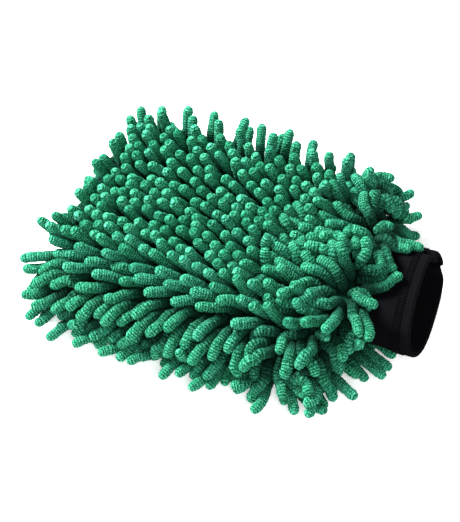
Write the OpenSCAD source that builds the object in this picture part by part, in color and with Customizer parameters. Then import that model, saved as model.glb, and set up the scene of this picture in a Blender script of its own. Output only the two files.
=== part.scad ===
// Chenille finger wash mitt: two domed fabric panels sewn into a bag, covered with chenille
// fingers, with a lining pocket inside and an elasticated knitted cuff at the mouth.
// The mitt lies flat on its bottom fingers. +X runs from the closed end to the cuff's mouth,
// +Y runs across the mitt and +Z is up. The origin is below the middle of the mitt.

/* [Panels] */
// Length of the sewn panels, from the closed end to the cuff
panel_l = 216; // [180:2:240]
// Width of the sewn panels, from side seam to side seam
panel_w = 174; // [140:2:190]
// Radius of the panels' corners at the closed end
corner_r = 34; // [25:1:40]
// Length over which the panels narrow to the cuff
shoulder_l = 40; // [34:1:50]
// Height of the side seam above the surface that the mitt lies on
seam_z = 20; // [19:1:24]
// How far the top panel swells above the side seam
top_rise = 13; // [12:1:18]
// How far the bottom panel sags below the side seam
bottom_drop = 2; // [1:0.5:3]
// Thickness of the knitted backing of each panel
backing_t = 1.2; // [0.8:0.1:2]
// Thickness of the lining
lining_t = 0.8; // [0.5:0.1:1.5]

/* [Fingers] */
// Length of a finger of the top panel
top_finger_l = 32; // [24:1:38]
// Diameter of a finger of the top panel
top_finger_d = 7.5; // [5:0.25:7.5]
// Length of a finger of the bottom panel
bottom_finger_l = 30; // [26:1:32]
// Diameter of a finger of the bottom panel, which the mitt's weight squeezes
bottom_finger_d = 5.5; // [5:0.25:6]
// Distance between sewn lines of fingers
row_pitch = 9.6; // [9:0.1:12]
// Distance between fingers along a line
finger_pitch = 9.6; // [9:0.1:12]

/* [Cuff] */
// Outer width of the cuff
cuff_w = 86; // [76:1:96]
// Length of the cuff from its sewn end to its mouth
cuff_l = 36; // [34:1:50]
// Height of the middle of the cuff's sewn end
cuff_z = 26; // [25:0.5:34]
// Outer height of the cuff
cuff_h = 26; // [25:1:34]
// Angle that the cuff rises at
cuff_tilt = 6; // [0:1:10]
// Thickness of the knitted fabric
knit_t = 1.2; // [0.8:0.1:1.6]
// Width of the hem that is folded in at the mouth
hem_w = 16; // [14:1:18]
// Thickness of the elastic in the hem
elastic_t = 1; // [0.6:0.1:1.2]

/* [Hidden] */
gap = 0.3;
press = 0.5;
root_d = 3.4;
side_margin = 4;
slot_t = elastic_t + 2 * gap;
rise_l = 46;
swell_power = 2.6;
swell_l = 62;
allowance_w = 6;
allowance_t = 1.4;
thread_d = 0.6;
lining_inset = backing_t + allowance_w + 3 * gap;
lining_end = 9;
cuff_start = 2.4;
joint_inset = 2.6;
joint_w = 9.5;
hem_clear = 4;
stitch_w = 7;

// The panels start at x_closed and end at x_cuff; the fingers overhang the closed end.
closed_overhang = 19.5;
cuff_reach = (cuff_l + cuff_start) * cos(cuff_tilt) + cuff_h / 2 * sin(cuff_tilt);
x_closed = -(panel_l + cuff_reach + closed_overhang) / 2 + closed_overhang;
x_cuff = x_closed + panel_l;

row_count = floor((panel_l - 8) / row_pitch) + 1;
bottom_row_count = row_count - 1;
row_start = (panel_l - (row_count - 1) * row_pitch) / 2;

function two_digits(i) = i < 10 ? str("0", i) : str(i);
function row_name(side, i) = str(side, "_finger_row_", two_digits(i));

green = [0.16, 0.53, 0.39];
light_green = [0.27, 0.68, 0.51];
black = [0.06, 0.06, 0.08];

// ---- Shape of the bag ----

function smooth(t) = let (c = min(max(t, 0), 1)) c * c * (3 - 2 * c);
function unit(v) = v / norm(v);

// Half the panel's width at x, with the outline moved in by inset.
function half_width(x, inset = 0) =
    let (
        r = corner_r - inset,
        from_closed = max(r - (x - x_closed - inset), 0),
        s = max(1 - (x_cuff - x) / shoulder_l, 0)
    )
    min(panel_w / 2 - corner_r + sqrt(max(r * r - from_closed * from_closed, 0)),
        cuff_w / 2 + (panel_w - cuff_w) / 4 * (1 + cos(180 * s * s)) - inset);

// The side seam rises to the middle of the cuff over the shoulder.
function seam_height(x) = seam_z + (cuff_z - seam_z) * smooth((x - x_cuff + swell_l) / swell_l);

// How far the top (side = 1) or bottom (side = -1) panel stands off the seam along its middle.
function middle_rise(x, side) =
    let (
        body = side > 0 ? top_rise : bottom_drop,
        at_cuff = smooth((x - x_cuff + swell_l) / swell_l)
    )
    body + (cuff_h / 2 - body) * at_cuff;

function rise(x, side, inset, depth) =
    let (t = min(max((x - x_closed - inset) / rise_l, 0), 1))
    (middle_rise(x, side) - depth) * sqrt(1 - (1 - t) * (1 - t));

// Height of a panel at x and at the share v of its half width.
function panel_z(x, v, side, inset = 0, depth = 0) =
    seam_height(x)
    + side * rise(x, side, inset, depth) * sqrt(1 - pow(min(abs(v), 1), swell_power));

function panel_point(x, v, side, inset = 0, depth = 0) =
    [x, v * half_width(x, inset), panel_z(x, v, side, inset, depth)];

// Outward normal of a panel, from two short steps along it.
function panel_normal(x, v, side) =
    let (
        h = 0.5,
        xa = max(x - h, x_closed + 0.05),
        xb = min(x + h, x_cuff - 0.05),
        va = max(v - 0.01, -0.995),
        vb = min(v + 0.01, 0.995),
        along = panel_point(xb, v, side) - panel_point(xa, v, side),
        across = panel_point(x, vb, side) - panel_point(x, va, side)
    )
    unit(side * cross(along, across));

// ---- Fabric sheets ----

along_n = 18;
across_n = 24;

function sheet_x(i, inset, x_end) =
    let (t = i / along_n) x_closed + inset + (x_end - x_closed - inset) * t * (0.65 + 0.35 * t);
function sheet_v(j, side) = side * cos(180 * j / across_n);

// A closed sheet between an outer and an inner copy of the panel's surface.
module panel_sheet(side, inset, depth, t, x_end) {
    columns = across_n + 1;
    count = (along_n + 1) * columns;
    outer = [
        for (i = [0:along_n], j = [0:across_n])
            panel_point(sheet_x(i, inset, x_end), sheet_v(j, side), side, inset, depth)
            + [0, 0, side * gap / 2]
    ];
    inner = [
        for (i = [0:along_n], j = [0:across_n])
            panel_point(sheet_x(i, inset + t, x_end), sheet_v(j, side), side, inset + t, depth + t)
            + [0, 0, side * gap / 2]
    ];
    function quad(a, b, c, d) = [[c, b, a], [d, c, a]];
    faces = [
        for (i = [0:along_n - 1], j = [0:across_n - 1])
            let (
                a = i * columns + j,
                b = a + 1,
                c = b + columns,
                d = a + columns
            )
            each concat(quad(a, b, c, d), quad(count + d, count + c, count + b, count + a)),
        for (i = [0:along_n - 1])
            let (
                a = i * columns,
                b = a + columns,
                e = a + across_n,
                f = e + columns
            )
            each concat(quad(a, b, count + b, count + a), quad(f, e, count + e, count + f)),
        for (j = [0:across_n - 1])
            let (
                a = j,
                e = along_n * columns + j
            )
            each concat(quad(a + 1, a, count + a, count + a + 1), quad(e, e + 1, count + e + 1, count + e))
    ];
    polyhedron(concat(outer, inner), faces, convexity = 4);
}

module top_backing() {
    color(green) panel_sheet(1, 0, 0, backing_t, x_cuff);
}

module bottom_backing() {
    color(green) panel_sheet(-1, 0, 0, backing_t, x_cuff);
}

module top_lining() {
    color(light_green) panel_sheet(1, lining_inset, backing_t + gap, lining_t, x_cuff - lining_end);
}

module bottom_lining() {
    color(light_green) panel_sheet(-1, lining_inset, backing_t + gap, lining_t, x_cuff - lining_end);
}

// ---- Fingers ----

// A finger stands on its narrow root at the origin and points along +Z.
module finger(l, d) {
    rotate_extrude($fn = 32)
        intersection() {
            union() {
                polygon([[0, 0], [root_d / 2, 0], [d / 2, d / 2], [d / 2, l - d / 2], [0, l - d / 2]]);
                translate([0, l - d / 2]) circle(d = d);
            }
            translate([0, -1]) square([d, l + 2]);
        }
}

module stand(at, direction) {
    tilt = acos(direction[2]);
    turn = atan2(direction[1], direction[0]);
    translate(at) rotate([0, tilt, turn]) children();
}

function row_x(i) = x_closed + row_start + (i - 1) * row_pitch;

// Counts alternate between odd and even, so that fingers stand between those of the next row.
function fingers_in_row(i) =
    let (most = floor((2 * half_width(row_x(i)) - side_margin) / finger_pitch) + 1)
    most - (most + i) % 2;

// The share of the half width at which finger k of n stands, with even spacing across the panel.
function finger_v(x, k, n) = (k - (n + 1) / 2) * finger_pitch / half_width(x);

// Top fingers stand off the panel, lean back to the closed end, and fan out over the cuff.
function top_direction(x, v) =
    let (
        u = (x - x_closed) / panel_l,
        lean = -0.85 + 1.75 * smooth((u - 0.68) / 0.32)
    )
    unit(panel_normal(x, v, 1) + [lean, 0.1 * v, 0]);

module top_row(i) {
    x = row_x(i);
    n = fingers_in_row(i);
    color(i % 2 == 0 ? green : light_green)
        for (k = [1:n]) {
            v = finger_v(x, k, n);
            stand(panel_point(x, v, 1) + gap * panel_normal(x, v, 1), top_direction(x, v))
                finger(top_finger_l, top_finger_d);
        }
}

// Bottom fingers are pressed over by the mitt's weight until their tips meet the surface.
function bottom_direction(x, v, root_z) =
    let (
        u = (x - x_closed) / panel_l,
        fall = (root_z + press - bottom_finger_d / 2) / (bottom_finger_l - bottom_finger_d / 2),
        q = v * half_width(x) / panel_w * 2,
        heading = unit([u > 0.9 ? 0.9 : -0.9, 1.1 * q * abs(q), 0])
    )
    sqrt(1 - fall * fall) * heading + [0, 0, -fall];

module bottom_row(i) {
    x = row_x(i);
    n = fingers_in_row(i);
    color(i % 2 == 0 ? green : light_green)
        difference() {
            for (k = [1:n]) {
                v = finger_v(x, k, n);
                root = panel_point(x, v, -1) - [0, 0, gap];
                stand(root, bottom_direction(x, v, root[2])) finger(bottom_finger_l, bottom_finger_d);
            }
            translate([-250, -250, -20]) cube([500, 500, 20]);
        }
}

// ---- Side seam ----

// Points along the side seam at an inset, from the cuff's end round the closed end and back.
function seam_path(inset) =
    let (
        r = corner_r - inset,
        x_arc = x_closed + corner_r,
        side_start = x_cuff - 12,
        side = [
            for (i = [0:12])
                let (x = side_start + (x_arc - side_start) * i / 12)
                [x, half_width(x, inset)]
        ],
        arc = [for (a = [9:9:90]) [x_arc - r * sin(a), panel_w / 2 - corner_r + r * cos(a)]],
        far_half = concat(side, arc)
    )
    concat(far_half, [for (i = [len(far_half) - 1:-1:0]) [far_half[i][0], -far_half[i][1]]]);

function with_seam_height(points, z) = [for (p = points) [p[0], p[1], seam_height(p[0]) + z]];

module side_seam_allowance() {
    start = backing_t + 2 * gap;
    rims = [
        with_seam_height(seam_path(start), -allowance_t / 2),
        with_seam_height(seam_path(start), allowance_t / 2),
        with_seam_height(seam_path(start + allowance_w), allowance_t / 2),
        with_seam_height(seam_path(start + allowance_w), -allowance_t / 2)
    ];
    n = len(rims[0]);
    points = [for (rim = rims) each rim];
    faces = concat(
        [for (k = [0:3], i = [0:n - 2])
            let (a = k * n + i, b = ((k + 1) % 4) * n + i)
            each [[a, b, b + 1], [a, b + 1, a + 1]]],
        [[0, 3 * n, 2 * n], [0, 2 * n, n], [n - 1, 2 * n - 1, 3 * n - 1], [n - 1, 3 * n - 1, 4 * n - 1]]
    );
    color(green) polyhedron(points, faces, convexity = 4);
}

// Overlock stitches lie across the allowance, on top of it.
module side_seam_thread() {
    outer = with_seam_height(seam_path(backing_t + 3 * gap), allowance_t / 2 + thread_d);
    inner = with_seam_height(seam_path(backing_t + allowance_w), allowance_t / 2 + thread_d);
    color(light_green)
        for (i = [1:len(outer) - 2]) stitch(outer[i], inner[i]);
}

// A straight stitch of thread between two points.
module stitch(a, b) {
    span = b - a;
    stand(a, unit(span)) cylinder(d = thread_d, h = norm(span), $fn = 16);
}

// ---- Cuff ----

// Outline of the cuff at an inset, with the same law as the panels' ends.
section_n = 56;
function section_point(a, inset) =
    let (v = cos(a))
    [v * (cuff_w / 2 - inset),
     (cuff_h / 2 - inset) * sqrt(1 - pow(abs(v), swell_power)) * (a < 180 ? 1 : -1)];
function section(inset) = [for (i = [0:section_n - 1]) section_point(360 * i / section_n, inset)];

module in_cuff() {
    translate([x_cuff + cuff_start, 0, cuff_z]) rotate([0, -cuff_tilt, 0]) children();
}

module cuff_solid(inset, from, to) {
    translate([from, 0, 0]) rotate([90, 0, 90]) linear_extrude(to - from) polygon(section(inset));
}

module cuff_ring(inset, t, from, to) {
    difference() {
        cuff_solid(inset, from, to);
        cuff_solid(inset + t, from - 1, to + 1);
    }
}

// Knitted tube whose mouth is folded in: a slot between the two layers holds the elastic.
module cuff() {
    color(black) in_cuff()
        difference() {
            cuff_solid(0, 0, cuff_l);
            cuff_solid(knit_t, -1, cuff_l - hem_w);
            cuff_ring(knit_t, slot_t, cuff_l - hem_w - 1, cuff_l - knit_t);
            cuff_solid(2 * knit_t + slot_t, -1, cuff_l + 1);
        }
}

module cuff_elastic() {
    color(black) in_cuff()
        cuff_ring(knit_t + gap, elastic_t, cuff_l - hem_w + 2, cuff_l - knit_t - 1);
}

// Turned-in edges of the cuff's own closing seam, on the far side.
module cuff_side_seam() {
    color(black) in_cuff()
        translate([hem_clear, cuff_w / 2 - knit_t - 2 * gap - 2, -2.5])
            cube([cuff_l - hem_w - 2 * hem_clear, 2, 5]);
}

// Stitches that hold the folded hem, around the outside of the cuff.
module hem_stitches() {
    color(black) in_cuff()
        for (i = [0:section_n - 1]) {
            p = section_point(360 * (i + 0.5) / section_n, -thread_d);
            stitch([cuff_l - hem_w + 1, p[0], p[1]], [cuff_l - hem_w + 1 + stitch_w, p[0], p[1]]);
        }
}

module cuff_joint_allowance() {
    color(green) in_cuff() cuff_ring(joint_inset, allowance_t, -joint_w, 5);
}

module cuff_joint_thread() {
    inset = joint_inset + allowance_t + thread_d;
    color(light_green) in_cuff()
        for (i = [0:section_n - 1]) {
            p = section_point(360 * (i + 0.5) / section_n, inset);
            stitch([1 - joint_w, p[0], p[1]], [-2, p[0], p[1]]);
        }
}

for (i = [1:row_count])
    top_row(i);
for (i = [1:bottom_row_count])
    bottom_row(i);
top_backing();
bottom_backing();
top_lining();
bottom_lining();
side_seam_allowance();
side_seam_thread();
cuff_joint_allowance();
cuff_joint_thread();
cuff();
cuff_elastic();
cuff_side_seam();
hem_stitches();
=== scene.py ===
import math

import bpy
import numpy as np
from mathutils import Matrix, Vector
from mathutils.bvhtree import BVHTree
from mathutils.kdtree import KDTree


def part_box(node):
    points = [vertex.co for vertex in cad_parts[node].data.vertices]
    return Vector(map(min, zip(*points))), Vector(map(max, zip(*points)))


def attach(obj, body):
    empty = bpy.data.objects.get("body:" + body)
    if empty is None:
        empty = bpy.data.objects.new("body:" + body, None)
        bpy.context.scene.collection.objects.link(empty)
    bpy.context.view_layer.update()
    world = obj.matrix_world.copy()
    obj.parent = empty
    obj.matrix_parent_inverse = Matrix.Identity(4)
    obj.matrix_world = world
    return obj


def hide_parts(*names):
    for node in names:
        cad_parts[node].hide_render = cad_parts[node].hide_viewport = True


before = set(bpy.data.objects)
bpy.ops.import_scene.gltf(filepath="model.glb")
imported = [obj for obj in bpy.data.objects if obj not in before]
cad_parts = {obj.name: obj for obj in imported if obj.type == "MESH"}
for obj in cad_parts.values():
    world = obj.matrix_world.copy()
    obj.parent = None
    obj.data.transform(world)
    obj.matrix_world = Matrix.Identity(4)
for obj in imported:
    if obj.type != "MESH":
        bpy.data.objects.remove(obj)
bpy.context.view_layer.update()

# Lengths inside this script are in millimetres until a mesh is made.
MM = 0.001
SEED = 7
FINGER_SEED = 1000  # plus the finger's number, for its own pile
rng = np.random.default_rng(SEED)


def node_box(name):
    low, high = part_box(name)
    return np.array(low) / MM, np.array(high) / MM


def unit(v):
    return v / np.maximum(np.linalg.norm(v, axis=-1, keepdims=True), 1e-9)


def smooth(t):
    c = np.clip(t, 0, 1)
    return c * c * (3 - 2 * c)


def above(value, limit, fade):
    """0 up to the limit, rising smoothly to 1 at limit + fade."""
    return smooth((value - limit) / fade)


def below(value, limit, fade):
    """0 from the limit on, rising smoothly to 1 at limit - fade."""
    return smooth((limit - value) / fade)


# ---- The bag and the cuff, with the CAD's laws ----

BACKING_LOW, BACKING_HIGH = node_box("top_backing")
X_CLOSED, X_CUFF = BACKING_LOW[0], BACKING_HIGH[0]
PANEL_L = X_CUFF - X_CLOSED
HALF_W = BACKING_HIGH[1]
SEAM_Z = BACKING_LOW[2]
TOP_RISE = 13.0  # of the top panel's middle over the seam
BOTTOM_DROP = 2.0
CORNER_R = 34.0  # of the two corners of the closed end
SHOULDER_L = 40.0  # length in which the panels narrow to the cuff
SWELL_L = 62.0  # length in which the bag swells to the cuff's height
RISE_L = 46.0  # length in which it rises from the closed end
SWELL_POWER = 2.6  # of the round section across it
BACKING_T = 1.2
LINING_T = 0.8
LINING_INSET = 8.1  # of the lining's rim from the backing's
LINING_END = 9.0  # of the lining from the cuff's joint
CUFF_HALF_W = 43.0
CUFF_HALF_H = 13.0
CUFF_L = 36.0
CUFF_Z = 26.0  # height of the cuff's middle at its joint
CUFF_START = 2.4  # from the end of the panels
CUFF_TILT = math.radians(6)
KNIT_T = 1.2
SLOT_T = 1.6  # room for the elastic in the folded hem
HEM_W = 16.0
SEAM_END = 12  # the side seam stops this far from the cuff's joint

# The empty cuff slackens towards its mouth: how far it narrows, is pinched, draws back and droops.
NARROWING = 0.03
PINCH, PINCH_AT, PINCH_W = 0.75, 0.84, 0.07
DRAW_BACK, DRAW_BACK_TOP, DRAW_BACK_FAR = 2.6, 6.0, 1.5
LIFT_FAR, DROOP_NEAR, WAVE = 1.5, 2.5, 0.8


def half_width(x, inset=0.0):
    """Half the width of a panel at x: round corners at the closed end, shoulders by the cuff."""
    r = CORNER_R - inset
    from_closed = np.maximum(r - (x - X_CLOSED - inset), 0)
    s = np.maximum(1 - (X_CUFF - x) / SHOULDER_L, 0)
    closed = HALF_W - CORNER_R + np.sqrt(np.maximum(r * r - from_closed**2, 0))
    shoulder = CUFF_HALF_W + (HALF_W - CUFF_HALF_W) / 2 * (1 + np.cos(np.pi * s * s))
    return np.minimum(closed, shoulder - inset)


def swell(x):
    """How far the bag has swollen to the cuff's section at x."""
    return smooth((x - X_CUFF + SWELL_L) / SWELL_L)


def seam_height(x):
    return SEAM_Z + (CUFF_Z - SEAM_Z) * swell(x)


def panel_z(x, v, side, inset=0.0, depth=0.0):
    """Height of a panel at x and the share v across it, depth below its outside."""
    body = TOP_RISE if side > 0 else BOTTOM_DROP
    middle = body + (CUFF_HALF_H - body) * swell(x)
    t = np.clip((x - X_CLOSED - inset) / RISE_L, 0, 1)
    rise = (middle - depth) * np.sqrt(1 - (1 - t) ** 2)
    return seam_height(x) + side * rise * np.sqrt(np.maximum(1 - np.abs(v) ** SWELL_POWER, 0))


def panel_grid(side, along, across, inset=0.0, depth=0.0, x_end=X_CUFF):
    """Points of a panel on a grid, shape (along + 1, across + 1, 3), closer at the closed end."""
    t = np.linspace(0, 1, along + 1)
    x = (X_CLOSED + inset + (x_end - X_CLOSED - inset) * t * (0.65 + 0.35 * t))[:, None]
    v = -np.cos(np.linspace(0, np.pi, across + 1))[None, :]
    y = v * half_width(x, inset)
    z = panel_z(x, v + 0 * x, side, inset, depth)
    return np.stack([x + 0 * v, y, z], axis=-1)


def cuff_point(s, angle, depth=0.0):
    """A point of the cuff at s from its sewn end and an angle round it, depth below its outside."""
    v = np.cos(angle)
    high = np.sqrt(np.maximum(1 - np.abs(v) ** SWELL_POWER, 0)) * np.where(np.sin(angle) < 0, -1, 1)
    to_mouth = smooth(s / CUFF_L)
    y = v * (CUFF_HALF_W - depth) * (1 - NARROWING * to_mouth * v)
    # Near its far end the mouth is pinched, which leaves a small open lobe at its fold.
    high = high * (1 - PINCH * to_mouth**2 * np.exp(-(((v - PINCH_AT) / PINCH_W) ** 2)))
    z = high * (CUFF_HALF_H - depth)
    # The top layer draws back further than the bottom one, and the far end stands higher.
    s = s - to_mouth * (DRAW_BACK + DRAW_BACK_TOP * high + DRAW_BACK_FAR * v)
    z = z + to_mouth * (LIFT_FAR * v - DROOP_NEAR * smooth(-v) + WAVE * np.sin(2 * angle + 0.6))
    c, n = math.cos(CUFF_TILT), math.sin(CUFF_TILT)
    return np.stack([X_CUFF + CUFF_START + s * c - z * n, y, CUFF_Z + s * n + z * c], axis=-1)


def grid_faces(rows, columns, offset=0, wrap=False):
    """Quads of a grid of points, rows x columns; wrap joins the last column to the first."""
    i = np.arange(rows - 1)[:, None]
    j = np.arange(columns if wrap else columns - 1)[None, :]
    a = i * columns + j
    b = i * columns + (j + 1) % columns
    return (np.stack([a, b, b + columns, a + columns], axis=-1) + offset).reshape(-1, 4)


def band_faces(rows, columns):
    """Quads of a closed band of points, rows round its section and columns round the cuff."""
    i, j = np.arange(rows)[:, None], np.arange(columns)[None, :]
    row, next_row, next_j = i * columns, (i + 1) % rows * columns, (j + 1) % columns
    return np.stack([row + j, row + next_j, next_row + next_j, next_row + j], -1).reshape(-1, 4)


def laps(run):
    """The length of a run of points up to each of them."""
    return np.concatenate([[0], np.cumsum(np.linalg.norm(np.diff(run, axis=0), axis=1))])


# ---- Reading where the fingers stand ----

END_L = 2.5  # length of a CAD finger's end in which its points are counted
RING_L = 0.3  # length in which its root ring lies


def mesh_arrays(mesh):
    points = np.empty(len(mesh.vertices) * 3)
    mesh.vertices.foreach_get("co", points)
    edges = np.empty(len(mesh.edges) * 2, dtype=np.int64)
    mesh.edges.foreach_get("vertices", edges)
    return points.reshape(-1, 3) / MM, edges.reshape(-1, 2)


def islands(points, edges):
    """A label for each point: points joined by edges, after welding, share one."""
    _, welded = np.unique(np.round(points, 3), axis=0, return_inverse=True)
    welded = welded.ravel()
    a, b = welded[edges[:, 0]], welded[edges[:, 1]]
    labels = np.arange(welded.max() + 1)
    while True:
        low = np.minimum(labels[a], labels[b])
        new = labels.copy()
        np.minimum.at(new, a, low)
        np.minimum.at(new, b, low)
        new = new[new]
        if (new == labels).all():
            return labels[welded]
        labels = new


def finger_axes(node):
    """Root and direction of each finger of a CAD row, in order across the mitt."""
    points, edges = mesh_arrays(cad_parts[node].data)
    labels = islands(points, edges)
    found = []
    for label in np.unique(labels):
        p = np.unique(np.round(points[labels == label], 4), axis=0)
        centre = (p.min(0) + p.max(0)) / 2
        axis = np.linalg.svd(p - p.mean(0), full_matrices=False)[2][0]
        along = (p - centre) @ axis
        near_low = np.sum(along < along.min() + END_L)
        near_high = np.sum(along > along.max() - END_L)
        if near_low > near_high:  # the round tip has more points than the flat root
            axis, along = -axis, -along
        root_ring = p[along < along.min() + RING_L]
        found.append(((root_ring.min(0) + root_ring.max(0)) / 2, axis))
    return sorted(found, key=lambda f: f[0][1])


ROWS = sorted(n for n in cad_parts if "_finger_row_" in n)
FOUND = [(k, row.startswith("top"), *f) for k, row in enumerate(ROWS) for f in finger_axes(row)]
row_of = np.array([f[0] for f in FOUND])
is_top = np.array([f[1] for f in FOUND])
roots = np.array([f[2] for f in FOUND])
axes = np.array([f[3] for f in FOUND])

# More fingers crowd together where the panels are gathered into the cuff.
GATHER_L = 30  # length of the gathers
GATHER_STEP = 1.5  # spacing of the spots that are tried
GATHER_EDGE, GATHER_EDGE_FAR = 3.0, 2.9  # least distance from the near and far side seam
CLEAR_OF_ROWS = 5.6  # least distance from the CAD's roots
APART, APART_NEAR = 11.5, 8.5  # least distance from each other, and the same in the near shoulder
NEAR_SHOULDER_Y = -34
ROOT_LIFT = 0.3
GATHER_AXIS = np.array([0.6, 0, 0.8])


def gathered(side):
    """Roots of the fingers added to a panel's gathers, and the CAD row nearest to each."""
    taken = roots[is_top == (side > 0)]
    rows = row_of[is_top == (side > 0)]
    spots, near_row = [], []
    for x in np.arange(X_CUFF - GATHER_L, X_CUFF - 1, GATHER_STEP):
        # The far half of the bottom panel is out of sight and gets none.
        y_end = (half_width(x) if side > 0 else 0.0) - GATHER_EDGE_FAR
        for y in np.arange(GATHER_EDGE - half_width(x), y_end, GATHER_STEP):
            spot = np.array([x, y, panel_z(x, y / half_width(x), side) + ROOT_LIFT * side])
            far = np.linalg.norm(taken - spot, axis=1)
            apart = APART_NEAR if y < NEAR_SHOULDER_Y else APART
            if far.min() > CLEAR_OF_ROWS and all(np.linalg.norm(spot - o) > apart for o in spots):
                spots.append(spot)
                near_row.append(rows[np.argmin(far)])
    return np.array(spots), np.array(near_row)


for side in (1, -1):
    more, more_row = gathered(side)
    roots = np.concatenate([roots, more])
    axes = np.concatenate([axes, np.tile(unit(GATHER_AXIS * [1, 1, side]), (len(more), 1))])
    row_of = np.concatenate([row_of, more_row])
    is_top = np.concatenate([is_top, np.full(len(more), side > 0)])
COUNT = len(roots)
print("fingers", COUNT, "of which the gathers add", COUNT - len(FOUND))

# ---- How the fingers lie ----

TOP_R, BOTTOM_R, USUAL_L = 3.75, 3.5, 33.5
FINGER_R = np.where(is_top, TOP_R, BOTTOM_R) * rng.uniform(0.95, 1.05, COUNT)
FINGER_L = USUAL_L * rng.uniform(0.94, 1.05, COUNT)
SEGMENTS = 8  # points of a finger's chain
# Two whorls on the top panel by the cuff, from which the fingers point away.
WHORLS = np.array([[X_CUFF - 13.0, -20.0], [X_CUFF - 16.0, 37.0]])
WHORL_REACH = 27.0
# The fan of the near corner spreads from here, measured from the closed end and the near side.
FAN_X, FAN_Y = 66, 42
# How far the fingers stray from their laws, and how much further in the loose zone by the cuff.
STRAY, LOOSE_STRAY = 0.08, 0.18


def lay_directions():
    """The direction each finger sets out in at its root, and the one its tip bends to."""
    x, y = roots[:, 0], roots[:, 1]
    # u runs from the closed end (0) to the cuff (1), q from the near side (-1) to the far side (1).
    u = (x - X_CLOSED) / PANEL_L
    q = y / HALF_W
    edge = half_width(x) - np.abs(y)
    end = x - X_CLOSED
    near_half, far_half = smooth(-q / 0.2), smooth(q / 0.2)
    zero = np.zeros(COUNT)
    start = np.tile([-0.28, -0.24, 0.93], (COUNT, 1))
    tip = np.tile([-0.36, -0.40, 0.84], (COUNT, 1))

    def bend_to(weight, new_start, new_tip):
        nonlocal start, tip
        w = np.broadcast_to(weight, (COUNT,))[:, None]
        start = unit(start * (1 - w) + unit(np.stack([zero + c for c in new_start], 1)) * w)
        tip = unit(tip * (1 - w) + unit(np.stack([zero + c for c in new_tip], 1)) * w)

    # The far side stands nearly upright, and its shoulder by the cuff falls over the seam.
    bend_to(above(q, 0.25, 0.5), (-0.26, -0.05, 0.96), (-0.26, -0.12, 0.95))
    shoulder = above(u, 0.72, 0.2) * below(edge, 26, 10) * far_half
    bend_to(shoulder, (0.3, 0.6, 0.15), (0.5, 0.2, -0.7))
    # The closed end stands upright too, with each tip leaning a little to its own side.
    far = smooth(q)
    at_closed = below(u, 0.18, 0.12)
    bend_to(at_closed, (-0.15, -0.12 + 0.24 * far, 0.96), (-0.02, -0.36 + 0.5 * far, 0.9))
    # At the rim of the far side and closed end they lean outwards.
    far_side = far_half * below(u, 0.86, 0.22)
    closed_end = above(q, -0.6, 0.1)
    lean_y = below(edge, 26, 16) * far_side * (0.7 + 0.3 * above(u, 0.15, 0.25))
    lean_x = -below(end, 26, 16) * closed_end
    bend_to(
        np.maximum(lean_y, -lean_x),
        (0.32 * lean_x - 0.1, 0.45 * lean_y - 0.05, 0.9),
        (0.42 * lean_x - 0.1, 0.80 * lean_y - 0.15, 0.75),
    )
    # The outermost of them hang over the seam.
    hang_y = below(edge, 4.5, 1.5) * far_side
    hang_x = -below(end, 11, 3) * closed_end
    bend_to(
        np.maximum(hang_y, -hang_x),
        (0.8 * hang_x, hang_y, 0.2 + 0.5 * hang_x),
        (0.15 * hang_x, 0.4 * hang_y, -0.9),
    )
    # By the cuff they are loose and laid flat towards the closed end.
    loose = above(u, 0.66, 0.1) * below(q, 0.5, 0.3)
    bend_to(loose, (-0.65, -0.1, 0.7), (-0.93, -0.08, 0.15))
    # Near side: laid flat along the edge, then hanging over it in two layers.
    bend_to(above(-q, 0.25, 0.2), (-0.5, -0.2, 0.85), (-0.67, -0.2, 0.7))
    bend_to(above(-q, 0.50, 0.14), (-0.7, -0.3, 0.65), (-0.82, -0.42, 0.35))
    heading = -0.56 + 0.44 * above(u, 0.35, 0.4) + 1.25 * above(u, 0.79, 0.17)
    bend_to(below(edge, 29, 7) * near_half, (heading, -0.8, 0.75), (heading, -0.7, -0.6))
    bend_to(below(edge, 14, 5) * near_half, (heading, -0.85, -0.2), (heading, -0.75, -0.55))
    # The near corner of the closed end spreads like a fan.
    fan = unit(np.stack([x - X_CLOSED - FAN_X, y + HALF_W - FAN_Y], 1))
    corner = above(-q, 0.48, 0.22) * below(u, 0.24, 0.1)
    bend_to(corner, (fan[:, 0], fan[:, 1], 0.15), (fan[:, 0], fan[:, 1], -0.1))
    for centre in WHORLS:
        away = np.stack([x, y], 1) - centre
        distance = np.linalg.norm(away, axis=1)
        away = unit(away)
        over_cuff = 0.35 * smooth(away[:, 0]) + 0.6 * smooth(away[:, 1]) * (centre[1] > 0)
        weight = smooth(1.3 - distance / WHORL_REACH) * above(edge, 13, 10)
        bend_to(weight, (away[:, 0], away[:, 1], 1.3), (away[:, 0], away[:, 1], 0.1 - over_cuff))
    # Bottom fingers keep the CAD's directions in the middle and splay outwards at the rim.
    down = axes.copy()
    rim = below(edge, 30, 14)[:, None]
    to_cuff = heading + 0.6 * above(u, 0.76, 0.14)
    out = unit(np.stack([to_cuff, np.sign(y) * 0.95, -0.3 + zero], 1))
    down = unit(down * (1 - rim) + out * rim)
    down[:, 0] += 0.9 * below(u, 0.16, 0.1) * above(q, -0.55, 0.2)
    down = unit(down)
    start = np.where(is_top[:, None], start, down)
    tip = np.where(is_top[:, None], tip, unit(down + [0, 0, 0.2]))
    wild = np.where(is_top, STRAY + LOOSE_STRAY * loose, STRAY)[:, None]
    start = unit(start + 0.6 * wild * rng.normal(size=(COUNT, 3)))
    tip = unit(tip + 1.4 * wild * rng.normal(size=(COUNT, 3)))
    return start, tip


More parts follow.
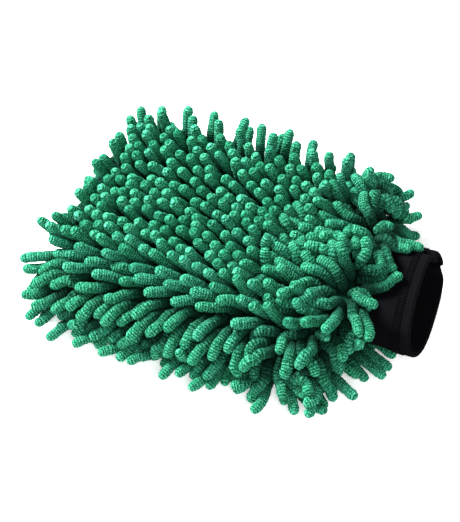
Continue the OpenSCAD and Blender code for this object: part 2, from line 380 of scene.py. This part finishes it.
def body_tree():
    """The outside of the bag and cuff, for finding the nearest point of it."""
    cells, rings, sides = 40, 9, 64
    top, under = panel_grid(1, cells, cells), panel_grid(-1, cells, cells)
    s = np.linspace(-CUFF_START, CUFF_L, rings)[:, None]
    angle = np.linspace(0, 2 * np.pi, sides + 1)[None, :-1]
    tube = cuff_point(s + 0 * angle, angle + 0 * s)
    columns = cells + 1
    n = columns * columns
    faces = np.concatenate([
        grid_faces(columns, columns)[:, ::-1],
        grid_faces(columns, columns, n),
        grid_faces(rings, sides, 2 * n, wrap=True),
    ])
    points = np.concatenate([top.reshape(-1, 3), under.reshape(-1, 3), tube.reshape(-1, 3)])
    return BVHTree.FromPolygons(points.tolist(), faces.tolist())


def close_pairs(points, reach):
    """Pairs of points of different fingers that are closer than reach."""
    tree = KDTree(len(points))
    for k, p in enumerate(points):
        tree.insert(p, k)
    tree.balance()
    pairs = [
        (k, other)
        for k, p in enumerate(points)
        for _, other, _ in tree.find_range(p, reach)
        if other > k and other // SEGMENTS != k // SEGMENTS
    ]
    return np.array(pairs).T


STEPS, QUICK_STEPS = 210, 80  # of settling
LAST_STEPS = 60  # steps at the end in which the fingers mostly push apart
PULL, LAST_PULL = 0.16, 0.02  # share of the way back to its wished bend in one step
PUSH = 0.6  # share of an overlap of two fingers undone in one step
SAG = 0.03  # how much a finger sags in one step, for each unit of pull
SEARCH_EVERY = 6  # steps between two searches for neighbours and the nearest wall
SEARCH_REACH = 2.4  # in radii of the thickest finger
WALL_STEP = 4  # longest push off the bag and cuff in one step
FLOOR_CLEARANCE = 1.3  # holds the pile of the lowest fingers at the floor
BEND_POWER = 0.8  # how early along a finger its bend from start to tip comes


def settle(start, tip, steps):
    """Lets the fingers bend, hang and push each other aside until they come to rest."""
    k = SEGMENTS
    share = np.linspace(0, 1, k - 1)[None, :, None] ** BEND_POWER
    rest = unit(start[:, None, :] * (1 - share) + tip[:, None, :] * share)
    step_l = ((FINGER_L - FINGER_R) / (k - 1))[:, None, None]
    anchor = roots[:, None, :]

    def chain(directions):
        return np.concatenate([0 * anchor, np.cumsum(directions * step_l, axis=1)], 1) + anchor

    nodes = chain(rest)
    tree = body_tree()
    radius = np.repeat(FINGER_R, k)
    free = np.tile(np.linspace(0, 1, k), COUNT)
    for step in range(steps):
        flat = nodes.reshape(-1, 3)
        if step % SEARCH_EVERY == 0:
            first, second = close_pairs(flat, SEARCH_REACH * FINGER_R.max())
            hits = [tree.find_nearest(p) for p in flat]
            wall = np.array([h[0] for h in hits])
            normal = np.array([h[1] for h in hits])
            give = (free[first] / np.maximum(free[first] + free[second], 1e-6))[:, None]
        gap = flat[first] - flat[second]
        length = np.linalg.norm(gap, axis=1)
        overlap = np.maximum(radius[first] + radius[second] - length, 0)
        push = gap / np.maximum(length, 1e-6)[:, None] * overlap[:, None] * PUSH
        move = np.zeros_like(flat)
        np.add.at(move, first, push * give)
        np.add.at(move, second, -push * (1 - give))
        depth = radius - np.sum((flat + move - wall) * normal, axis=1)
        move += normal * (np.clip(depth, 0, WALL_STEP) * np.minimum(free * 3, 1))[:, None]
        low = radius + FLOOR_CLEARANCE - (flat + move)[:, 2]
        move[:, 2] += np.maximum(low, 0)
        nodes = (flat + move).reshape(COUNT, k, 3)
        bend = unit(nodes[:, 1:] - nodes[:, :-1])
        before = np.concatenate([start[:, None, :], bend[:, :-1]], 1)
        turn = rest - np.concatenate([start[:, None, :], rest[:, :-1]], 1)
        wish = unit(0.5 * rest + 0.5 * unit(before + turn))
        pull = PULL if step < steps - LAST_STEPS else LAST_PULL
        bend = unit(bend + pull * (wish - bend) - [0, 0, SAG * pull])
        nodes = chain(bend)
    return nodes


paths = settle(*lay_directions(), STEPS)
print("settled", paths.min((0, 1)).round(1), paths.max((0, 1)).round(1))

# ---- Meshes ----


def make_mesh(name, points, faces, extra=()):
    """A smooth mesh of quads, with extra triangles."""
    extra = np.asarray(extra, dtype=int).reshape(-1, 3)
    corners = np.concatenate([faces.ravel(), extra.ravel()])
    mesh = bpy.data.meshes.new(name)
    mesh.vertices.add(len(points))
    mesh.vertices.foreach_set("co", (points * MM).astype(np.float32).ravel())
    mesh.loops.add(len(corners))
    mesh.loops.foreach_set("vertex_index", corners.astype(np.int32))
    starts = np.concatenate([np.arange(len(faces)) * 4, faces.size + np.arange(len(extra)) * 3])
    mesh.polygons.add(len(starts))
    mesh.polygons.foreach_set("loop_start", starts.astype(np.int32))
    mesh.polygons.foreach_set("use_smooth", np.full(len(starts), True))
    mesh.update(calc_edges=True)
    return mesh


def add_vectors(mesh, name, values):
    """Stores a vector on each point of a mesh, for its material."""
    attribute = mesh.attributes.new(name, "FLOAT_VECTOR", "POINT")
    attribute.data.foreach_set("vector", np.asarray(values, dtype=np.float32).ravel())


def place(name, mesh, material, replaces):
    """A visible piece. All of them ride the mitt's only body."""
    piece = bpy.data.objects.new(name, mesh)
    bpy.context.scene.collection.objects.link(piece)
    mesh.materials.append(material)
    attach(piece, "root")
    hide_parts(*replaces)
    return piece


def spline(nodes, t):
    """Points and directions at the shares t of a smooth curve through the nodes."""
    k = len(nodes)
    position = t * (k - 1)
    i = np.clip(position.astype(int), 0, k - 2)
    f = (position - i)[:, None]
    padded = np.concatenate([[2 * nodes[0] - nodes[1]], nodes, [2 * nodes[-1] - nodes[-2]]])
    a, b, c, d = padded[i], padded[i + 1], padded[i + 2], padded[i + 3]
    m0, m1 = (c - a) / 2, (d - b) / 2
    point = (2 * f**3 - 3 * f**2 + 1) * b + (f**3 - 2 * f**2 + f) * m0
    point += (3 * f**2 - 2 * f**3) * c + (f**3 - f**2) * m1
    slope = (6 * f**2 - 6 * f) * (b - c) + (3 * f**2 - 4 * f + 1) * m0 + (3 * f**2 - 2 * f) * m1
    return point, unit(slope)


def sweep(centre, along, angle, r):
    """Rings of radius r[i, j] round a curve, carried along it without twist."""
    up = np.array([0.0, 0.0, 1.0]) if abs(along[0][2]) < 0.9 else np.array([1.0, 0.0, 0.0])
    side = np.zeros_like(along)
    side[0] = unit(np.cross(up, along[0]))
    for i in range(1, len(side)):
        side[i] = unit(side[i - 1] - along[i] * np.dot(side[i - 1], along[i]))
    other = np.cross(along, side)
    cos, sin = np.cos(angle)[None, :, None], np.sin(angle)[None, :, None]
    ring = cos * side[:, None, :] + sin * other[:, None, :]
    return centre[:, None, :] + ring * r[:, :, None]


def tube_caps(rings, sides, offset):
    """Fans that close a tube at each end, round the two points that follow it."""
    a = np.arange(sides)
    b = (a + 1) % sides
    last = offset + (rings - 1) * sides
    low, high = 0 * a + offset + rings * sides, 0 * a + offset + rings * sides + 1
    near, far = [offset + b, offset + a, low], [last + a, last + b, high]
    return np.concatenate([np.stack(near, 1), np.stack(far, 1)])


def with_ends(tubes):
    """The points of each tube, followed by the middles of its first and last rings."""
    parts = [(tube.reshape(-1, 3), tube[[0, -1]].mean(1)) for tube in tubes]
    return np.concatenate([points for part in parts for points in part])


def tube_mesh(name, tubes):
    """One mesh of closed tubes, each a grid of points shaped (rings, sides, 3)."""
    quads, fans, offset = [], [], 0
    for tube in tubes:
        rings, sides = tube.shape[:2]
        quads.append(grid_faces(rings, sides, offset, wrap=True))
        fans.append(tube_caps(rings, sides, offset))
        offset += rings * sides + 2
    return make_mesh(name, with_ends(tubes), np.concatenate(quads), np.concatenate(fans))


# ---- Chenille fingers ----

RIB_PITCH = 1.75
PILE = 0.34  # how far ribs and tufts stand out
SEEN_Q = -0.55  # bottom fingers beyond this share of the near half are seen and get the fine mesh
FINE, COARSE = (3, 13), (2, 10)  # rings for each rib, and sides


def finger_mesh(nodes, radius, per_rib, sides, noise):
    """Points of one finger, ribbed and tufted, and the same points on the unbent finger."""
    path_l = np.linalg.norm(np.diff(nodes, axis=0), axis=1).sum()
    full_l = path_l + radius
    ribs = int(round(full_l / RIB_PITCH))
    rings = ribs * per_rib + 1
    s = np.linspace(0, full_l, rings)
    # The outline is narrow at the root, swells a little on the way and ends in a round tip.
    root = 0.55 + 0.45 * np.sqrt(np.clip(s / 5.0, 0, 1))
    body = 0.95 + 0.05 * smooth(s / (0.5 * full_l))
    to_tip = np.clip((full_l - s) / (radius * 1.2), 0, 1)
    outline = radius * body * root * np.sqrt(1 - (1 - to_tip) ** 2)
    rib = 0.5 - 0.5 * np.cos(2 * np.pi * (np.arange(rings) % per_rib) / per_rib)
    tuft = np.repeat(noise.uniform(-1, 1, (ribs + 1, sides)), per_rib, axis=0)[:rings]
    # Each ring of pile is broken into tufts that stand out by different amounts.
    loft = PILE * (rib[:, None] - 0.7) + PILE * tuft * (0.4 + 0.6 * rib[:, None])
    fade = np.minimum(outline / radius * 1.5, 1)
    r = np.maximum(outline[:, None] + fade[:, None] * loft, 0.02)
    centre, along = spline(nodes, np.clip(s / path_l, 0, 1))
    centre = centre + along * np.maximum(s - path_l, 0)[:, None]
    angle = np.arange(sides) * 2 * np.pi / sides
    points = sweep(centre, along, angle, r)
    x, y = radius * np.cos(angle), radius * np.sin(angle)
    flat = np.stack(np.broadcast_arrays(x, y, s[:, None]), -1)
    return points, flat


def build_fingers(material):
    """One piece for each row of the CAD, with the fingers that the gathers add to it."""
    seen = is_top | (roots[:, 1] < SEEN_Q * HALF_W)
    for k, row in enumerate(ROWS):
        tubes, grains = [], []
        for f in np.flatnonzero(row_of == k):
            noise = np.random.default_rng(FINGER_SEED + f)
            fineness = FINE if seen[f] else COARSE
            tube, grain = finger_mesh(paths[f], FINGER_R[f], *fineness, noise)
            tubes.append(tube)
            grains.append(grain)
        mesh = tube_mesh(row + "_mesh", tubes)
        add_vectors(mesh, "grain", with_ends(grains))
        place("chenille_" + row, mesh, material, (row,))


# ---- Fabric panels ----

SHEET_CELLS = 60
SHEET_LIFT = 0.15  # keeps the edges of the two panels apart at the seam


def build_sheet(node, side, inset, depth, thickness, x_end, material, slot):
    """A panel of cloth with a thickness, closed all round."""
    cells = SHEET_CELLS
    outer = panel_grid(side, cells, cells, inset, depth, x_end)
    inner = panel_grid(side, cells, cells, inset + thickness, depth + thickness, x_end)
    points = np.concatenate([outer.reshape(-1, 3), inner.reshape(-1, 3)])
    points[:, 2] += side * SHEET_LIFT
    columns = cells + 1
    n = columns * columns
    near, closed = np.arange(cells) * columns, np.arange(cells)
    far, cuff_end = near + cells, cells * columns + closed
    faces = np.concatenate([
        grid_faces(columns, columns),
        grid_faces(columns, columns, n)[:, ::-1],
        np.stack([near, near + columns, n + near + columns, n + near], 1),
        np.stack([far + columns, far, n + far, n + far + columns], 1),
        np.stack([closed + 1, closed, n + closed, n + closed + 1], 1),
        np.stack([cuff_end, cuff_end + 1, n + cuff_end + 1, n + cuff_end], 1),
    ])
    faces = faces[:, ::-1] if side > 0 else faces
    mesh = make_mesh(node + "_fabric_mesh", points, faces)
    return place(node + "_fabric", mesh, material, (node,))


# ---- Cuff ----

WALES = 118  # ribs of the knit round the cuff
WALE_H = 0.11


def cuff_profile():
    """The folded knit's section as rows of (s, depth, side), side 1 outside and -1 inside."""
    inner_r = SLOT_T / 2
    outer_r = KNIT_T + inner_r
    lip = CUFF_L - outer_r
    turn = np.linspace(0, np.pi, 9)[1:-1]
    along = np.linspace(0, lip, 34)
    hem = np.linspace(lip, CUFF_L - HEM_W, 16)
    outside = [(s, 0.0, 1) for s in along]
    outside += [(lip + outer_r * math.sin(a), outer_r - outer_r * math.cos(a), 1) for a in turn]
    outside += [(s, 2 * outer_r, 1) for s in hem]
    inside = [(s, 2 * outer_r - KNIT_T, -1) for s in hem[::-1]]
    inside += [(lip + inner_r * math.sin(a), outer_r + inner_r * math.cos(a), -1) for a in turn]
    inside += [(s, KNIT_T, -1) for s in along[::-1]]
    return np.array(outside + inside)


def build_cuff(material):
    """The cuff, and the length round its sewn end."""
    sides = 2 * WALES
    # Equal steps round the oval, not equal angles.
    fine = np.linspace(0, 2 * np.pi, 2001)
    lap = laps(cuff_point(0 * fine, fine))
    angle = np.interp(np.linspace(0, lap[-1], sides + 1)[:-1], lap, fine)
    s, depth, face = (c[:, None] for c in cuff_profile().T)
    wale = WALE_H * np.where(np.arange(sides) % 2 == 0, 1, -1)[None, :]
    points = cuff_point(s + 0 * angle, angle + 0 * s, depth - face * wale)
    mesh = make_mesh("cuff_mesh", points.reshape(-1, 3), band_faces(len(s), sides))
    flat = np.stack(np.broadcast_arrays(angle / (2 * np.pi) * lap[-1], s, depth), -1)
    add_vectors(mesh, "grain", flat)
    return place("cuff_folded_knit", mesh, material, ("cuff",)), lap[-1]


def build_threads(name, runs, radius, sides, material, node):
    """Round threads, each along a run of points."""
    angle = np.arange(sides) * 2 * np.pi / sides
    tubes = []
    for run in runs:
        along = unit(np.gradient(run, axis=0))
        tubes.append(sweep(run, along, angle, np.full((len(run), sides), radius)))
    place(name, tube_mesh(name + "_mesh", tubes), material, (node,))


def build_cover_stitch(material):
    """Two needle lines round the hem, with short rungs of thread between them."""
    runs = []
    count, steps = 124, 5
    near, far = CUFF_L - HEM_W + 1.5, CUFF_L - HEM_W + 7.5
    for k in range(count):
        a = 2 * np.pi * (k + np.linspace(0.08, 0.92, steps)) / count
        lift = -0.28 - 0.25 * np.sin(np.linspace(0, np.pi, steps))
        for s in (near, far):
            runs.append(cuff_point(s + 0 * a, a, lift))
        s = np.linspace(near + 0.4, far - 0.4, steps)
        runs.append(cuff_point(s, a[2] + 0.012 * np.sin(s * 2), lift))
    build_threads("hem_cover_stitch", runs, 0.3, 5, material, "hem_stitches")


def build_ring(name, node, start, end, depth, thickness, ripple, material, slot):
    """A band round the inside of the cuff, with its edges rippled along s."""
    sides, rows = 160, 12
    angle = np.arange(sides) * 2 * np.pi / sides
    outer = np.stack([np.linspace(start, end, rows), np.full(rows, depth)], 1)
    section = np.concatenate([outer, outer[::-1] + [0, thickness]])
    s, d = section[:, 0][:, None], section[:, 1][:, None]
    wave = ripple * np.sin(23 * angle)[None, :] * ((s - start) / (end - start))
    points = cuff_point(s + 0 * angle, angle + 0 * s, d + wave)
    mesh = make_mesh(name + "_mesh", points.reshape(-1, 3), band_faces(len(section), sides))
    place(name, mesh, material, (node,))


def seam_run(inset, count):
    """Evenly spaced points round the closed end, from one end of the side seam to the other."""
    r = CORNER_R - inset
    x_arc = X_CLOSED + CORNER_R
    x = np.linspace(X_CUFF - SEAM_END, x_arc, 60)
    arc = np.linspace(0, np.pi / 2, 20)[1:]
    far = np.concatenate([
        np.stack([x, half_width(x, inset)], 1),
        np.stack([x_arc - r * np.sin(arc), HALF_W - CORNER_R + r * np.cos(arc)], 1),
    ])
    run = np.concatenate([far, far[::-1] * [1, -1]])
    lap = laps(run)
    even = np.linspace(0, lap[-1], count)
    x, y = np.interp(even, lap, run[:, 0]), np.interp(even, lap, run[:, 1])
    return np.stack([x, y, seam_height(x)], 1)


def build_seam_allowance(material):
    """The two turned-in edges of the panels, pressed together and slightly wavy."""
    count = 220
    outer, inner = seam_run(2.0, count)[:, None, :], seam_run(7.6, count)[:, None, :]
    wave = 0.25 * np.sin(np.arange(count) * 0.5)[:, None]
    # The section: its share of the way inwards and its height, round its edge.
    share = np.array([0, 0.06, 0.5, 0.94, 1, 1, 0.94, 0.5, 0.06, 0])
    lift = np.array([-0.3, -0.6, -0.62, -0.6, -0.3, 0.3, 0.6, 0.62, 0.6, 0.3])
    points = outer * (1 - share)[None, :, None] + inner * share[None, :, None]
    points[..., 2] += lift[None, :] + wave * share[None, :]
    mesh = tube_mesh("side_seam_mesh", [points])
    place("side_seam_turned_edges", mesh, material, ("side_seam_allowance",))


def build_overlock(material):
    """Thread wound round the turned-in edges: along the side seam and round the cuff's joint."""
    steps = 12  # points in one turn of the thread

    def turns(count):
        return np.arange(count * steps) * 2 * np.pi / steps

    def wind(name, run, node):
        build_threads(name, [run], 0.28, 5, material, node)

    t = turns(165)
    outer, inner = seam_run(2.6, len(t)), seam_run(8.1, len(t))
    share = (0.5 - 0.5 * np.cos(t))[:, None]
    side = outer * (1 - share) + inner * share
    side[:, 2] += 1.0 * np.sin(t)
    wind("side_seam_overlock", side, "side_seam_thread")
    count = 62
    t = turns(count)
    ring = cuff_point(-5.2 - 3.2 * np.cos(t), t / count, 3.3 + 1.2 * np.sin(t))
    wind("cuff_joint_overlock", ring, "cuff_joint_thread")


def build_cuff_seam(material):
    """The cuff's own closing seam: its two turned-in edges, opened a little towards the hem."""
    runs = []
    for turn in (-1, 1):
        s = np.linspace(4.0, CUFF_L - HEM_W - 3.0, 14)
        runs.append(cuff_point(s, turn * (0.035 + 0.02 * s / CUFF_L), 2.6 + 0.15 * np.sin(s)))
    build_threads("cuff_closing_seam", runs, 0.95, 10, material, "cuff_side_seam")


# ---- Materials ----


class Shader:
    """A material's node tree, with short calls for the nodes used here."""

    def __init__(self, name, roughness, sheen=0.0, sheen_tint=(1, 1, 1, 1)):
        self.material = bpy.data.materials.new(name)
        self.material.use_nodes = True
        self.tree = self.material.node_tree
        self.surface = self.tree.nodes["Principled BSDF"]
        self.surface.inputs["Roughness"].default_value = roughness
        self.surface.inputs["Sheen Weight"].default_value = sheen
        self.surface.inputs["Sheen Tint"].default_value = sheen_tint
        self.surface.inputs["Sheen Roughness"].default_value = 0.5
        self.surface.inputs["Specular IOR Level"].default_value = 0.08

    def connect(self, socket, value):
        if isinstance(value, bpy.types.NodeSocket):
            self.tree.links.new(value, socket)
        else:
            socket.default_value = value

    def node(self, kind, inputs=None, **settings):
        n = self.tree.nodes.new(kind)
        for key, value in settings.items():
            setattr(n, key, value)
        for key, value in (inputs or {}).items():
            self.connect(n.inputs[key], value)
        return n

    def math(self, operation, a, b=0.0, c=0.0):
        return self.node("ShaderNodeMath", {0: a, 1: b, 2: c}, operation=operation).outputs[0]

    def vector(self, operation, a, b):
        return self.node("ShaderNodeVectorMath", {0: a, 1: b}, operation=operation).outputs[0]

    def noise(self, at, scale, detail, roughness):
        inputs = {"Vector": at, "Scale": scale, "Detail": detail, "Roughness": roughness}
        return self.node("ShaderNodeTexNoise", inputs).outputs["Fac"]

    def grain(self):
        """The point of the flat, unbent cloth or finger, in millimetres."""
        return self.node("ShaderNodeAttribute", attribute_name="grain").outputs["Vector"]

    def ramp(self, value, stops):
        n = self.node("ShaderNodeValToRGB", {"Fac": value})
        elements = n.color_ramp.elements
        while len(elements) > 1:
            elements.remove(elements[-1])
        elements[0].position, elements[0].color = stops[0][0], (*stops[0][1], 1)
        for position, colour in stops[1:]:
            elements.new(position).color = (*colour, 1)
        return n.outputs["Color"]

    def multiply(self, a, b):
        n = self.node("ShaderNodeMix", data_type="RGBA", blend_type="MULTIPLY")
        by_name = {s.identifier: s for s in n.inputs}
        self.connect(by_name["Factor_Float"], 1.0)
        self.connect(by_name["A_Color"], a)
        self.connect(by_name["B_Color"], b)
        return next(o for o in n.outputs if o.identifier == "Result_Color")

    def finish(self, colour, height, distance, strength):
        self.connect(self.surface.inputs["Base Color"], colour)
        inputs = {"Height": height, "Strength": strength, "Distance": distance}
        bump = self.node("ShaderNodeBump", inputs)
        self.connect(self.surface.inputs["Normal"], bump.outputs["Normal"])
        return self.material


def grey(v):
    return (v, v, v)


PAINTED_TIP_LIGHT_AT = 34.0  # along a finger, where the painted light on its tip is brightest
COURSE_PITCH = 0.9  # of the cuff's knit


def chenille_material():
    """Matt tufted pile: rings across the finger, broken into small tufts, with painted shade in the
    ring valleys and between tufts and painted highlights on the tufts' ends.
    """
    m = Shader("chenille", 1.0, sheen=0.07, sheen_tint=(0.2, 1.0, 0.7, 1))
    grain = m.grain()
    island = m.node("ShaderNodeNewGeometry").outputs["Random Per Island"]
    own = m.vector("ADD", grain, m.vector("MULTIPLY", island, (317.0, 211.0, 97.0)))
    along = m.node("ShaderNodeSeparateXYZ", {0: grain}).outputs["Z"]
    tufts = m.node("ShaderNodeTexVoronoi", {"Vector": own, "Scale": 1.25}).outputs["Distance"]
    fibre = m.noise(own, 2.5, 3.0, 0.75)
    # The rings' sine lowers the pile in their valleys and darkens it there as painted shade.
    wave = m.math("SINE", m.math("MULTIPLY", along, 2 * math.pi / RIB_PITCH))
    value = m.math("MULTIPLY_ADD", tufts, -0.75, m.math("MULTIPLY_ADD", fibre, 1.5, 0.06))
    value = m.math("MULTIPLY_ADD", wave, -0.13, value)
    # From painted shade in the pile's hollows to painted highlights on the tufts' ends; the fibre
    # noise adds the yarn's own mottle.
    colour = m.ramp(value, [
        (0.15, (0.0015, 0.037, 0.018)),
        (0.42, (0.016, 0.205, 0.108)),
        (0.66, (0.085, 0.43, 0.262)),
        (0.95, (0.34, 0.84, 0.64)),
    ])
    # Painted shade deep in the pile at the root, and painted light at the tip.
    depth = m.ramp(m.math("MULTIPLY", along, 1 / PAINTED_TIP_LIGHT_AT), [
        (0.05, grey(0.03)),
        (0.3, grey(0.18)),
        (0.6, grey(0.76)),
        (1.0, grey(1.35)),
    ])
    each = m.ramp(island, [(0.0, (0.86, 0.92, 0.88)), (1.0, (1.12, 1.05, 1.10))])
    colour = m.multiply(m.multiply(colour, depth), each)
    return m.finish(colour, value, 0.0009, 0.9)


def cloth_material(name, dark, light, scale, sheen=0.05):
    m = Shader(name, 0.95, sheen=sheen)
    weave = m.noise(m.node("ShaderNodeTexCoord").outputs["Object"], scale, 5.0, 0.65)
    return m.finish(m.ramp(weave, [(0.3, dark), (0.7, light)]), weave, 0.0003, 0.8)


def rib_knit_material():
    """Near-black rib knit: courses across the wales, with a faint lint."""
    m = Shader("cuff_rib_knit", 1.0)
    grain = m.grain()
    parts = m.node("ShaderNodeSeparateXYZ", {0: grain}).outputs
    courses = m.math("SINE", m.math("MULTIPLY", parts["Y"], 2 * math.pi / COURSE_PITCH))
    value = m.math("MULTIPLY_ADD", courses, 0.12, m.noise(grain, 1.3, 6.0, 0.7))
    colour = m.ramp(value, [(0.3, (0.0016, 0.0014, 0.002)), (0.8, (0.0080, 0.0075, 0.0105))])
    return m.finish(colour, value, 0.0003, 0.7)


# The backing cloth is painted far darker than its own green, as painted shade in the gaps between
# the fingers; the turned edges of the side seam and the cuff's joint share it.
SHADED_BACKING = cloth_material("backing_knit_painted_shade", (0.001, 0.018, 0.009), (0.004, 0.055, 0.028), 900)
LINING = cloth_material("lining_knit", (0.006, 0.10, 0.055), (0.02, 0.2, 0.11), 1200)
GREEN_THREAD = cloth_material("green_thread", (0.02, 0.2, 0.1), (0.05, 0.34, 0.2), 2500)
KNIT = rib_knit_material()
ELASTIC = cloth_material("woven_elastic", (0.003, 0.003, 0.004), (0.01, 0.01, 0.012), 1500, 0)
BLACK = cloth_material("black_thread", (0.002, 0.002, 0.003), (0.008, 0.008, 0.0105), 2500, 0)

# ---- The pieces ----

LINING_GAP = 0.3  # between the lining and the backing over it
OUTSIDE = (0, 0, BACKING_T, X_CUFF, SHADED_BACKING, "backing")
INSIDE = (LINING_INSET, BACKING_T + LINING_GAP, LINING_T, X_CUFF - LINING_END, LINING, "lining")
# Bands in the cuff: start and end along it, depth, thickness and ripple.
JOINT_BAND = (4.5, -9.0, 2.7, 1.1, 0.3)
ELASTIC_BAND = (CUFF_L - 2.6, CUFF_L - HEM_W + 2.0, 1.55, 0.9, 0.05)

build_fingers(chenille_material())
top_fabric = build_sheet("top_backing", 1, *OUTSIDE)
under_fabric = build_sheet("bottom_backing", -1, *OUTSIDE)
top_lining = build_sheet("top_lining", 1, *INSIDE)
under_lining = build_sheet("bottom_lining", -1, *INSIDE)
cuff, cuff_round = build_cuff(KNIT)
build_cover_stitch(BLACK)
build_seam_allowance(SHADED_BACKING)
build_overlock(GREEN_THREAD)
build_cuff_seam(KNIT)
build_ring("cuff_joint_turned_edges", "cuff_joint_allowance", *JOINT_BAND, SHADED_BACKING, "backing")
build_ring("cuff_hem_elastic", "cuff_elastic", *ELASTIC_BAND, ELASTIC, "elastic")

# ---- Floor, light and camera ----

WHITE = (1, 1, 1, 1)
LAMP_AIM = Vector((0, 0, 0.03))
MITT_MIDDLE = Vector((0.004, 0, 0.028))
AZIMUTH, ELEVATION = math.radians(21.2), math.radians(50)
DISTANCE = 0.798
SCALE = 1.445  # picture points for each millimetre at the middle of the mitt
PICTURE_H = 522  # height of the picture in points
SENSOR = 36  # height of the camera's sensor in millimetres
AIM_RIGHT, AIM_UP = -0.0110, -0.0081


def build_stage():
    bpy.ops.mesh.primitive_plane_add(size=6)
    floor = bpy.context.object
    floor.name = "floor"
    paper = bpy.data.materials.new("white_paper")
    paper.use_nodes = True
    surface = paper.node_tree.nodes["Principled BSDF"]
    surface.inputs["Base Color"].default_value = (0.95, 0.95, 0.95, 1)
    surface.inputs["Roughness"].default_value = 0.9
    surface.inputs["Specular IOR Level"].default_value = 0.1
    # A little light of its own keeps the paper white right up to the mitt's shadow.
    surface.inputs["Emission Color"].default_value = WHITE
    surface.inputs["Emission Strength"].default_value = 0.3
    floor.data.materials.append(paper)


def area_light(name, at, size, power):
    """A round lamp that is turned to the mitt."""
    light = bpy.data.lights.new(name, "AREA")
    light.shape = "DISK"
    light.size = size
    light.energy = power
    lamp = bpy.data.objects.new(name, light)
    lamp.location = at
    lamp.rotation_euler = (LAMP_AIM - Vector(at)).to_track_quat("-Z", "Y").to_euler()
    bpy.context.scene.collection.objects.link(lamp)


def build_light():
    world = bpy.data.worlds.new("studio")
    bpy.context.scene.world = world
    world.use_nodes = True
    background = world.node_tree.nodes["Background"]
    background.inputs["Color"].default_value = WHITE
    background.inputs["Strength"].default_value = 0.27
    area_light("key", (-1.0, 0.25, 0.95), 0.5, 70)
    area_light("fill", (0.5, -1.0, 1.1), 0.9, 16)


def build_camera():
    level = math.cos(ELEVATION)
    back = Vector((math.sin(AZIMUTH) * level, -math.cos(AZIMUTH) * level, math.sin(ELEVATION)))
    right = Vector((math.cos(AZIMUTH), math.sin(AZIMUTH), 0))
    up = back.cross(right)
    camera_data = bpy.data.cameras.new("camera")
    camera = bpy.data.objects.new("camera", camera_data)
    aim = MITT_MIDDLE + right * AIM_RIGHT + up * AIM_UP
    camera.location = aim + back * DISTANCE
    camera.rotation_euler = (aim - camera.location).to_track_quat("-Z", "Y").to_euler()
    camera_data.lens = SCALE * DISTANCE / MM * SENSOR / PICTURE_H
    camera_data.clip_start = 0.05
    bpy.context.scene.collection.objects.link(camera)
    bpy.context.scene.camera = camera


build_stage()
build_light()
build_camera()
bpy.context.scene.view_settings.view_transform = "Standard"
bpy.context.scene.view_settings.look = "Medium High Contrast"
